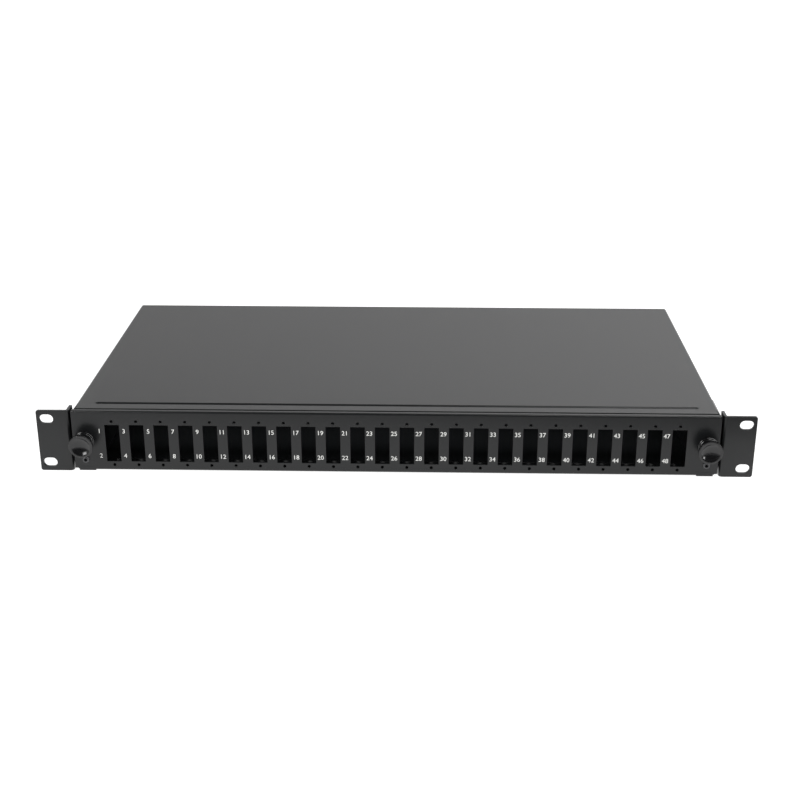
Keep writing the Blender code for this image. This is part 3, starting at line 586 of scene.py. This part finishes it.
def zinc_plate(name, roughness, grain, stretch):
    """Bright zinc plate: a bluish silver whose grain follows the way that the steel was worked."""
    material, shader = new_material(name, "#b4b8bd", roughness, 1.0)
    place = add_node(material, "ShaderNodeTexCoord")
    turn = add_node(
        material, "ShaderNodeMapping", {"Scale": stretch}, [("Vector", place.outputs["Object"])]
    )
    streaks = add_node(
        material,
        "ShaderNodeTexNoise",
        {"Scale": 1 / grain, "Detail": 4.0},
        [("Vector", turn.outputs["Vector"])],
    )
    tint = add_node(material, "ShaderNodeValToRGB", links=[("Fac", streaks.outputs["Fac"])])
    tint.color_ramp.elements[0].color = linear("#a3a8ad")
    tint.color_ramp.elements[1].color = linear("#c6c8c8")
    gloss = add_node(
        material,
        "ShaderNodeMapRange",
        {"To Min": roughness - 0.08, "To Max": roughness + 0.12},
        [("Value", streaks.outputs["Fac"])],
    )
    bump = add_node(
        material,
        "ShaderNodeBump",
        {"Strength": 0.1, "Distance": 0.0001},
        [("Height", streaks.outputs["Fac"])],
    )
    material.node_tree.links.new(tint.outputs["Color"], shader.inputs["Base Color"])
    material.node_tree.links.new(gloss.outputs["Result"], shader.inputs["Roughness"])
    material.node_tree.links.new(bump.outputs["Normal"], shader.inputs["Normal"])
    return material


screw_zinc = zinc_plate("zinc_plated_screw", 0.26, 0.0008, (1, 1, 1))
screw_radius = 0.0019
screw_head = 0.0038
screw_crown = 0.0024
crown_edge = 0.35
crown_steps = 7
recess_half_width = 0.0004
recess_reach = 0.0018
recess_depth = 0.0013
recess_bars = ((recess_half_width, recess_reach), (recess_reach, recess_half_width))
screw_dome = []
for step in range(crown_steps + 1):
    angle = math.pi / 2 * step / crown_steps
    rise = screw_crown * (crown_edge + (1 - crown_edge) * math.cos(angle))
    screw_dome.append((screw_head * math.sin(angle), rise))
for kind, count in (("ear_screw", 3), ("cover_screw", 2)):
    for side, hand in ((-1, "left"), (1, "right")):
        for number in range(1, count + 1):
            node = f"{kind}_{hand}_{number}"
            low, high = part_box(node)
            length = high.x - low.x - screw_crown
            shank = [(screw_head, 0), (screw_radius, 0), (screw_radius, -length), (0, -length)]
            place = Vector((0, (low.y + high.y) / 2, (low.z + high.z) / 2))
            place.x = (low.x if side < 0 else high.x) - side * screw_crown
            shape = turned(screw_dome + shank, (0, 0, 0), steps=40, facing=1)
            for wide, tall in recess_bars:
                bar = brick((-wide, screw_crown - recess_depth, -tall), (wide, screw_crown * 2, tall))
                shape = carve(shape, bar)
            to_side = Matrix.Rotation(-side * math.pi / 2, 4, "Z")
            bmesh.ops.transform(shape, matrix=Matrix.Translation(place) @ to_side, verts=shape.verts)
            add_piece(
                f"{node}_head", shape, screw_zinc, "case", [node], smooth_below=32
            )


# Ball slides, rails: channels roll-formed from zinc-plated strip. The outer rail is fixed along the
# case wall and the narrower inner rail along the drawer, with the balls between their flanges.

# Rolling leaves fine streaks along the rail.
rolled_zinc = zinc_plate("rolled_zinc_plated_strip", 0.3, 0.0006, (1, 0.02, 1))
strip_edge = 0.00012
for kind, body in (("outer_rail", "case"), ("inner_rail", "drawer")):
    for hand in ("left", "right"):
        node = f"{kind}_{hand}"
        shape = merged_copy(node)
        rail = add_piece(
            f"rolled_{node}", shape, rolled_zinc, body, [node], smooth_below=0
        )
        soften_edges(rail, strip_edge)


# Ball slides, cages: each is a stamped zinc-plated strip with two rows of hardened steel balls. It
# rolls between the rails and travels half as far as the drawer.

bearing_steel, ball_shader = new_material("polished_bearing_steel", "#c9ccd0", 0.12, 1.0)
ball_place = add_node(bearing_steel, "ShaderNodeTexCoord")
ball_film = add_node(
    bearing_steel,
    "ShaderNodeTexNoise",
    {"Scale": 1 / 0.002},
    [("Vector", ball_place.outputs["Object"])],
)
# A film of grease lies unevenly on the balls and dulls them in patches.
ball_gloss = add_node(
    bearing_steel,
    "ShaderNodeMapRange",
    {"To Min": 0.06, "To Max": 0.22},
    [("Value", ball_film.outputs["Fac"])],
)
bearing_steel.node_tree.links.new(ball_gloss.outputs["Result"], ball_shader.inputs["Roughness"])

ball_radius = 0.0015
ball_seat = 1.6 * ball_radius
balls_per_row = 4
cage_sheet = 0.0006
cage_fold = 0.0008
for side, hand in ((-1, "left"), (1, "right")):
    node = f"ball_cage_{hand}"
    body = f"{node}_travel"
    low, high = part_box(node)
    inner, outer = (high.x, low.x) if side < 0 else (low.x, high.x)
    ball_x = inner + side * ball_seat
    row_low, row_high = low.z + ball_radius, high.z - ball_radius
    strip = bmesh.new()
    corners = [(inner, row_low), (outer, row_low), (outer, row_high), (inner, row_high)]
    verts = [strip.verts.new((x, low.y, z)) for x, z in corners]
    edges = [strip.edges.new(pair) for pair in zip(verts, verts[1:])]
    bmesh.ops.bevel(
        strip,
        geom=verts[1:3],
        offset=cage_fold,
        segments=4,
        profile=0.5,
        affect="VERTICES",
        material=-1,
    )
    grown = bmesh.ops.extrude_edge_only(strip, edges=strip.edges)
    ends = [item for item in grown["geom"] if isinstance(item, bmesh.types.BMVert)]
    bmesh.ops.translate(strip, vec=(0, high.y - low.y, 0), verts=ends)
    bmesh.ops.recalc_face_normals(strip, faces=strip.faces)
    cage = add_piece(
        f"cage_strip_{hand}", strip, rolled_zinc, body, [node], smooth_below=60
    )
    thickness = cage.modifiers.new("thickness", "SOLIDIFY")
    thickness.thickness = cage_sheet
    thickness.offset = 0.0
    balls = bmesh.new()
    for number in range(balls_per_row):
        y = low.y + (high.y - low.y) * (2 * number + 1) / (2 * balls_per_row)
        for z in (row_low, row_high):
            bmesh.ops.create_uvsphere(
                balls,
                u_segments=32,
                v_segments=16,
                radius=ball_radius,
                matrix=Matrix.Translation((ball_x, y, z)),
            )
    add_piece(f"cage_balls_{hand}", balls, bearing_steel, body, smooth_below=60)


# Splice cassettes: two trays and a lid of black ABS, moulded with a spark-eroded, matt texture.
# Fibres enter by the gates at the front corners and wind round the two hubs.

# Spark-eroded ABS gives an even matt black. Its grain is drawn half a millimetre across, coarser than
# the real one, so that it shows.
abs_plastic, abs_shader = new_material("matt_black_abs", "#1b1b1d", 0.5, IOR=1.52)
abs_place = add_node(abs_plastic, "ShaderNodeTexCoord")
abs_spark = add_node(
    abs_plastic,
    "ShaderNodeTexNoise",
    {"Scale": 1 / 0.0005, "Detail": 2.0},
    [("Vector", abs_place.outputs["Object"])],
)
abs_bump = add_node(
    abs_plastic,
    "ShaderNodeBump",
    {"Strength": 0.25, "Distance": 0.0001},
    [("Height", abs_spark.outputs["Fac"])],
)
abs_gloss = add_node(
    abs_plastic,
    "ShaderNodeMapRange",
    {"To Min": 0.42, "To Max": 0.6},
    [("Value", abs_spark.outputs["Fac"])],
)
abs_plastic.node_tree.links.new(abs_bump.outputs["Normal"], abs_shader.inputs["Normal"])
abs_plastic.node_tree.links.new(abs_gloss.outputs["Result"], abs_shader.inputs["Roughness"])

least_rise = 1e-5


def round_plate(low, high, corner, inset=0.0):
    """A flat block between two corners, smaller by the inset, with its upright edges rounded."""
    plate = brick((low[0] + inset, low[1] + inset, low[2]), (high[0] - inset, high[1] - inset, high[2]))
    uprights = [
        edge for edge in plate.edges if abs(edge.verts[0].co.z - edge.verts[1].co.z) > least_rise
    ]
    bmesh.ops.bevel(
        plate,
        geom=uprights,
        offset=corner - inset,
        segments=16,
        profile=0.5,
        affect="EDGES",
        material=-1,
    )
    return plate


def upright_turned(profile, place, steps=96, ring=False):
    """A lathe shape about an upright axis through a place, from (radius, height) points."""
    shape = turned(profile, (0, 0, 0), steps, facing=1, ring=ring)
    stand = Matrix.Translation(place) @ Matrix.Rotation(math.pi / 2, 4, "X")
    bmesh.ops.transform(shape, matrix=stand, verts=shape.verts)
    return shape


cassette_wall = 0.0015
cassette_floor = 0.0012
cassette_corner = 0.0260
hub_radius = 0.0230
hub_inset = 0.0280
hub_softness = 0.0003
gate_inset = 0.0040
gate_width = 0.0120
gate_sill = 1.5 * cassette_floor
tray_edge = 0.00025
lid_thickness = 0.0016
lid_edge = 0.0004
for level in ("lower", "upper"):
    node = f"splice_cassette_{level}"
    low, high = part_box(node)
    middle = (low + high) / 2
    inside = (low.x, low.y, low.z + cassette_floor), (high.x, high.y, high.z + cassette_floor)
    hollow = round_plate(*inside, cassette_corner, cassette_wall)
    gates = []
    for side in (-1, 1):
        gate = middle.x + side * ((high.x - low.x) / 2 - cassette_corner - gate_inset)
        gates.append(
            brick(
                (gate - gate_width / 2, low.y - cassette_wall, low.z + gate_sill),
                (gate + gate_width / 2, low.y + 2 * cassette_wall, high.z + cassette_wall),
            )
        )
    shape = round_plate(low, high, cassette_corner)
    for cutter in (hollow, *gates):
        shape = carve(shape, cutter)
    tray = add_piece(
        f"cassette_tray_{level}", shape, abs_plastic, "drawer", [node], smooth_below=0
    )
    soften_edges(tray, tray_edge)
    hubs = bmesh.new()
    carrier = bpy.data.meshes.new("hub")
    hub_top = high.z - low.z - cassette_floor / 2
    hub_profile = [
        (hub_radius, cassette_floor / 2),
        (hub_radius, hub_top),
        (hub_radius - cassette_wall, hub_top),
        (hub_radius - cassette_wall, cassette_floor / 2),
    ]
    hub_profile = round_corners(hub_profile, hub_softness, ring=True)
    for x in (low.x + hub_inset, high.x - hub_inset):
        hub = upright_turned(hub_profile, (x, middle.y, low.z), ring=True)
        hub.to_mesh(carrier)
        hub.free()
        hubs.from_mesh(carrier)
    add_piece(f"cassette_hubs_{level}", hubs, abs_plastic, "drawer")
low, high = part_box("cassette_lid")
lid_plate = round_plate((low.x, low.y, high.z - lid_thickness), high, cassette_corner)
lid = add_piece(
    "cassette_cover_plate",
    lid_plate,
    abs_plastic,
    "drawer",
    ["cassette_lid"],
    smooth_below=0,
)
soften_edges(lid, lid_edge)


# Splice combs: black rubber, moulded as a row of slots. One comb lies on each cassette's floor, and
# each slot grips the sleeve over a fibre splice.

comb_rubber, rubber_shader = new_material("moulded_black_rubber", "#19191a", 0.72, IOR=1.52)
rubber_place = add_node(comb_rubber, "ShaderNodeTexCoord")
rubber_bloom = add_node(
    comb_rubber,
    "ShaderNodeTexNoise",
    {"Scale": 1 / 0.003, "Detail": 5.0},
    [("Vector", rubber_place.outputs["Object"])],
)
# Rubber blooms: a grey haze lies in soft patches over the black.
rubber_tint = add_node(comb_rubber, "ShaderNodeValToRGB", links=[("Fac", rubber_bloom.outputs["Fac"])])
rubber_tint.color_ramp.elements[0].color = linear("#141415")
rubber_tint.color_ramp.elements[1].color = linear("#242425")
rubber_bump = add_node(
    comb_rubber,
    "ShaderNodeBump",
    {"Strength": 0.2, "Distance": 0.0001},
    [("Height", rubber_bloom.outputs["Fac"])],
)
comb_rubber.node_tree.links.new(rubber_tint.outputs["Color"], rubber_shader.inputs["Base Color"])
comb_rubber.node_tree.links.new(rubber_bump.outputs["Normal"], rubber_shader.inputs["Normal"])

comb_edge = 0.0002
for level in ("lower", "upper"):
    node = f"splice_comb_{level}"
    shape = merged_copy(node)
    comb = add_piece(
        f"rubber_comb_{level}", shape, comb_rubber, "drawer", [node], smooth_below=0
    )
    soften_edges(comb, comb_edge)


# Cassette stud and nut: a zinc-plated stud stands on the drawer's floor, and a black nylon thumb
# nut with a fluted grip holds the stack down.

low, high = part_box("cassette_stud")
stud_place = ((low.x + high.x) / 2, (low.y + high.y) / 2, low.z)
stud_height = high.z - low.z
stud_radius = 0.0025
stud_softness = 0.0004
stud_profile = [(0, 0), (stud_radius, 0), (stud_radius, stud_height), (0, stud_height)]
stud = upright_turned(round_corners(stud_profile, stud_softness), stud_place, steps=48)
add_piece(
    "stud", stud, screw_zinc, "drawer", ["cassette_stud"], smooth_below=40
)
low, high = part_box("cassette_nut")
nut_height = high.z - low.z
nut_clearance = 0.0002
nut_bore = stud_radius + nut_clearance
nut_flange = 0.0072
nut_flange_share = 0.55
nut_grip = 0.0045
nut_grip_share = 0.7
nut_softness = 0.0004
flutes = 12
flute_depth_share = 0.05
bore_wall = 0.0005
nut_profile = round_corners(
    [
        (nut_bore, 0),
        (nut_flange, 0),
        (nut_flange, nut_height * nut_flange_share),
        (nut_grip, nut_height * nut_grip_share),
        (nut_grip, nut_height),
        (nut_bore, nut_height),
    ],
    nut_softness,
    ring=True,
)
nut = upright_turned(nut_profile, (0, 0, 0), steps=144, ring=True)
for vert in nut.verts:
    radius = math.hypot(vert.co.x, vert.co.y)
    if radius > nut_bore + bore_wall:
        flute = 0.5 - 0.5 * math.cos(flutes * math.atan2(vert.co.y, vert.co.x))
        vert.co.x *= 1 - flute_depth_share * flute
        vert.co.y *= 1 - flute_depth_share * flute
bmesh.ops.translate(nut, vec=(stud_place[0], stud_place[1], low.z), verts=nut.verts)
add_piece(
    "thumb_nut", nut, latch_nylon, "drawer", ["cassette_nut"], smooth_below=40
)


# Bend-radius guides: four quarter rings of black nylon on the drawer's floor, with a lip along
# the top that keeps the fibres down.

# Moulded nylon, left as it comes from the tool: a satin black with faint flow marks.
satin_nylon, satin_shader = new_material("satin_black_nylon", "#151516", 0.36, IOR=1.53)
satin_place = add_node(satin_nylon, "ShaderNodeTexCoord")
satin_flow = add_node(
    satin_nylon,
    "ShaderNodeTexNoise",
    {"Scale": 1 / 0.0012, "Detail": 3.0},
    [("Vector", satin_place.outputs["Object"])],
)
satin_gloss = add_node(
    satin_nylon,
    "ShaderNodeMapRange",
    {"To Min": 0.3, "To Max": 0.45},
    [("Value", satin_flow.outputs["Fac"])],
)
satin_bump = add_node(
    satin_nylon,
    "ShaderNodeBump",
    {"Strength": 0.1, "Distance": 0.0001},
    [("Height", satin_flow.outputs["Fac"])],
)
satin_nylon.node_tree.links.new(satin_gloss.outputs["Result"], satin_shader.inputs["Roughness"])
satin_nylon.node_tree.links.new(satin_bump.outputs["Normal"], satin_shader.inputs["Normal"])

guide_radius = 0.0300
guide_reach = 0.0050
guide_wall = 0.0018
guide_foot = 0.0016
guide_arc = math.radians(100)
guide_steps = 36
nylon_edge = 0.0003
lid_low, lid_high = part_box("cassette_lid")
cassette_y = (lid_low.y + lid_high.y) / 2
guide_y = (lid_high.y - lid_low.y) / 2 - guide_radius
for side, hand in ((-1, "left"), (1, "right")):
    for end, where in ((-1, "front"), (1, "rear")):
        node = f"fibre_guide_{hand}_{where}"
        low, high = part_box(node)
        height = high.z - low.z
        inner, outer = guide_radius - guide_reach, guide_radius + guide_reach
        corners = [
            (inner, 0),
            (outer, 0),
            (outer, guide_foot),
            (guide_radius + guide_wall, guide_foot),
            (guide_radius + guide_wall, height - guide_foot),
            (outer, height - guide_foot),
            (outer, height),
            (guide_radius, height),
            (guide_radius, guide_foot),
            (inner, guide_foot),
        ]
        middle_turn = math.atan2(end, side)
        centre_x = (high.x if side > 0 else low.x) - side * outer
        shape = bmesh.new()
        section = shape.faces.new([shape.verts.new((radius, 0, rise)) for radius, rise in corners])
        bmesh.ops.spin(
            shape,
            geom=[section],
            cent=(0, 0, 0),
            axis=(0, 0, 1),
            angle=guide_arc,
            steps=guide_steps,
        )
        bmesh.ops.remove_doubles(shape, verts=shape.verts, dist=seam_gap)
        bmesh.ops.recalc_face_normals(shape, faces=shape.faces)
        stand = Matrix.Translation((centre_x, cassette_y + end * guide_y, low.z))
        spin = Matrix.Rotation(middle_turn - guide_arc / 2, 4, "Z")
        bmesh.ops.transform(shape, matrix=stand @ spin, verts=shape.verts)
        guide = add_piece(
            f"nylon_{node}", shape, satin_nylon, "drawer", [node], smooth_below=0
        )
        soften_edges(guide, nylon_edge)


# Tube anchors: moulded bridges of black nylon on the drawer's floor. A cable tie can pass under
# each to hold the incoming fibre tubes.

for hand in ("left", "right"):
    node = f"tube_anchor_{hand}"
    shape = merged_copy(node)
    anchor = add_piece(
        f"nylon_{node}", shape, satin_nylon, "drawer", [node], smooth_below=0
    )
    soften_edges(anchor, nylon_edge)


# Cable glands: black nylon. A threaded body with a six-sided collar passes through the back wall,
# a lock nut holds it from inside, and a ribbed cap squeezes a rubber seal on the cable.

gland_reach = 0.0170
gland_hex = 0.0050
gland_collar = 0.0100
gland_bore = 0.0065
thread_radius = 0.0097
thread_pitch = 0.0015
thread_root = thread_radius - thread_pitch / 3
thread_stop = 0.001
thread_clearance = 0.0002
collar_outside = 0.0103
gland_inside = -0.0085
cap_inside = 0.0106
cap_outside = 0.0126
cap_start = 0.0053
gland_mouth = 0.0061
mouth_depth = 0.0030
locknut_top = -0.0016
locknut_bottom = -0.0056
cap_ribs = 18
rib_depth = 0.0007
rib_root = cap_inside + 0.0008
cap_softness = 0.0008
gland_flats = 0.0240
hexagon_edge = 0.0004
drill_reach = 0.03
seal_bore = 0.0042
seal_clearance = 0.0003
seal_softness = 0.0005


def hexagon_nut(place, back, front):
    """A six-sided nut about an axis along Y."""
    corner_radius = gland_flats / math.sqrt(3)
    middle = (place[0], place[1] + (back + front) / 2, place[2])
    lie_down = Matrix.Rotation(-math.pi / 2, 4, "X")
    corner_up = Matrix.Rotation(math.pi / 2, 4, "Z")
    nut = bmesh.new()
    bmesh.ops.create_cone(
        nut,
        cap_ends=True,
        segments=6,
        radius1=corner_radius,
        radius2=corner_radius,
        depth=front - back,
        matrix=Matrix.Translation(middle) @ lie_down @ corner_up,
    )
    return nut


def drill(radius, place):
    """A round bar through a place, to cut a bore with."""
    profile = [(0, -drill_reach), (radius, -drill_reach), (radius, drill_reach), (0, drill_reach)]
    return turned(profile, place, steps=64, facing=1)


for hand in ("left", "right"):
    low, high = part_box(f"gland_cap_{hand}")
    x, z = (low.x + high.x) / 2, (low.z + high.z) / 2
    seat = high.y - gland_reach
    place = (x, seat, z)
    hexagon = add_piece(
        f"gland_hexagon_{hand}",
        carve(hexagon_nut(place, 0, gland_hex), drill(gland_bore, place)),
        satin_nylon,
        "case",
        [f"gland_body_{hand}"],
        smooth_below=0,
    )
    soften_edges(hexagon, hexagon_edge)
    thread = [(gland_bore, gland_hex / 2), (gland_bore, gland_inside), (thread_root, gland_inside)]
    turns = int((-gland_inside - thread_stop) / thread_pitch)
    for number in range(turns):
        start = gland_inside + number * thread_pitch
        thread += [
            (thread_root, start + thread_pitch * 0.25),
            (thread_radius, start + thread_pitch * 0.5),
            (thread_root, start + thread_pitch),
        ]
    thread += [(thread_radius, 0), (thread_radius, gland_hex / 2)]
    thread += [(collar_outside, gland_hex / 2), (collar_outside, gland_collar), (gland_bore, gland_collar)]
    tube = turned(thread, place, steps=72, facing=1, ring=True)
    add_piece(f"gland_thread_{hand}", tube, satin_nylon, "case", smooth_below=30)
    nut = hexagon_nut(place, locknut_bottom, locknut_top)
    lock = add_piece(
        f"gland_nut_{hand}",
        carve(nut, drill(thread_radius + thread_clearance, place)),
        satin_nylon,
        "case",
        [f"gland_locknut_{hand}"],
        smooth_below=0,
    )
    soften_edges(lock, hexagon_edge)
    cap_profile = [
        (cap_inside, cap_start),
        (cap_outside, cap_start),
        (cap_outside, gland_reach - 2 * mouth_depth),
        (cap_outside * 0.94, gland_reach - mouth_depth),
        (cap_outside * 0.78, gland_reach - mouth_depth / 4),
        (cap_outside * 0.64, gland_reach),
        (gland_mouth, gland_reach),
        (gland_mouth, gland_reach - mouth_depth),
        (cap_inside, gland_reach - 1.5 * mouth_depth),
    ]
    cap_profile = round_corners(cap_profile, cap_softness, ring=True)
    cap = turned(cap_profile, place, steps=144, facing=1, ring=True)
    for vert in cap.verts:
        spoke = Vector((vert.co.x - x, 0, vert.co.z - z))
        if spoke.length > rib_root and vert.co.y < seat + gland_reach - mouth_depth:
            wave = 0.5 - 0.5 * math.cos(cap_ribs * math.atan2(spoke.z, spoke.x))
            vert.co -= spoke.normalized() * rib_depth * wave
    add_piece(
        f"gland_ribbed_cap_{hand}",
        cap,
        satin_nylon,
        "case",
        [f"gland_cap_{hand}"],
        smooth_below=40,
    )
    low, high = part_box(f"gland_seal_{hand}")
    seal_profile = [
        (seal_bore, low.y - seat),
        (gland_mouth - seal_clearance, low.y - seat),
        (gland_mouth - seal_clearance, high.y - seat),
        (seal_bore, high.y - seat),
    ]
    seal_profile = round_corners(seal_profile, seal_softness, ring=True)
    seal = turned(seal_profile, place, steps=72, facing=1, ring=True)
    add_piece(
        f"gland_rubber_seal_{hand}",
        seal,
        comb_rubber,
        "case",
        [f"gland_seal_{hand}"],
        smooth_below=40,
    )


# Entry plugs: black rubber. Each closes a spare cable entry with a domed disc and a lip that snaps
# behind the wall.

entry_radius = 0.0101
plug_height = 0.0024
plug_lip = -0.0016
plug_clearance = 0.0003
plug_catch = 0.0008
plug_softness = 0.0004
for hand in ("left", "right"):
    node = f"entry_plug_{hand}"
    low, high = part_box(node)
    edge = (high.x - low.x) / 2
    seat = high.y - plug_height
    profile = [
        (0, plug_height),
        (edge * 0.45, plug_height * 0.98),
        (edge * 0.78, plug_height * 0.86),
        (edge, plug_height * 0.45),
        (edge, 0),
        (entry_radius - plug_clearance, 0),
        (entry_radius - plug_clearance, plug_lip),
        (entry_radius + plug_catch, plug_lip),
        (entry_radius - plug_catch, low.y - seat),
        (0, low.y - seat),
    ]
    place = ((low.x + high.x) / 2, seat, (low.z + high.z) / 2)
    plug = turned(round_corners(profile, plug_softness), place, steps=72, facing=1)
    add_piece(f"rubber_{node}", plug, comb_rubber, "case", [node], smooth_below=40)
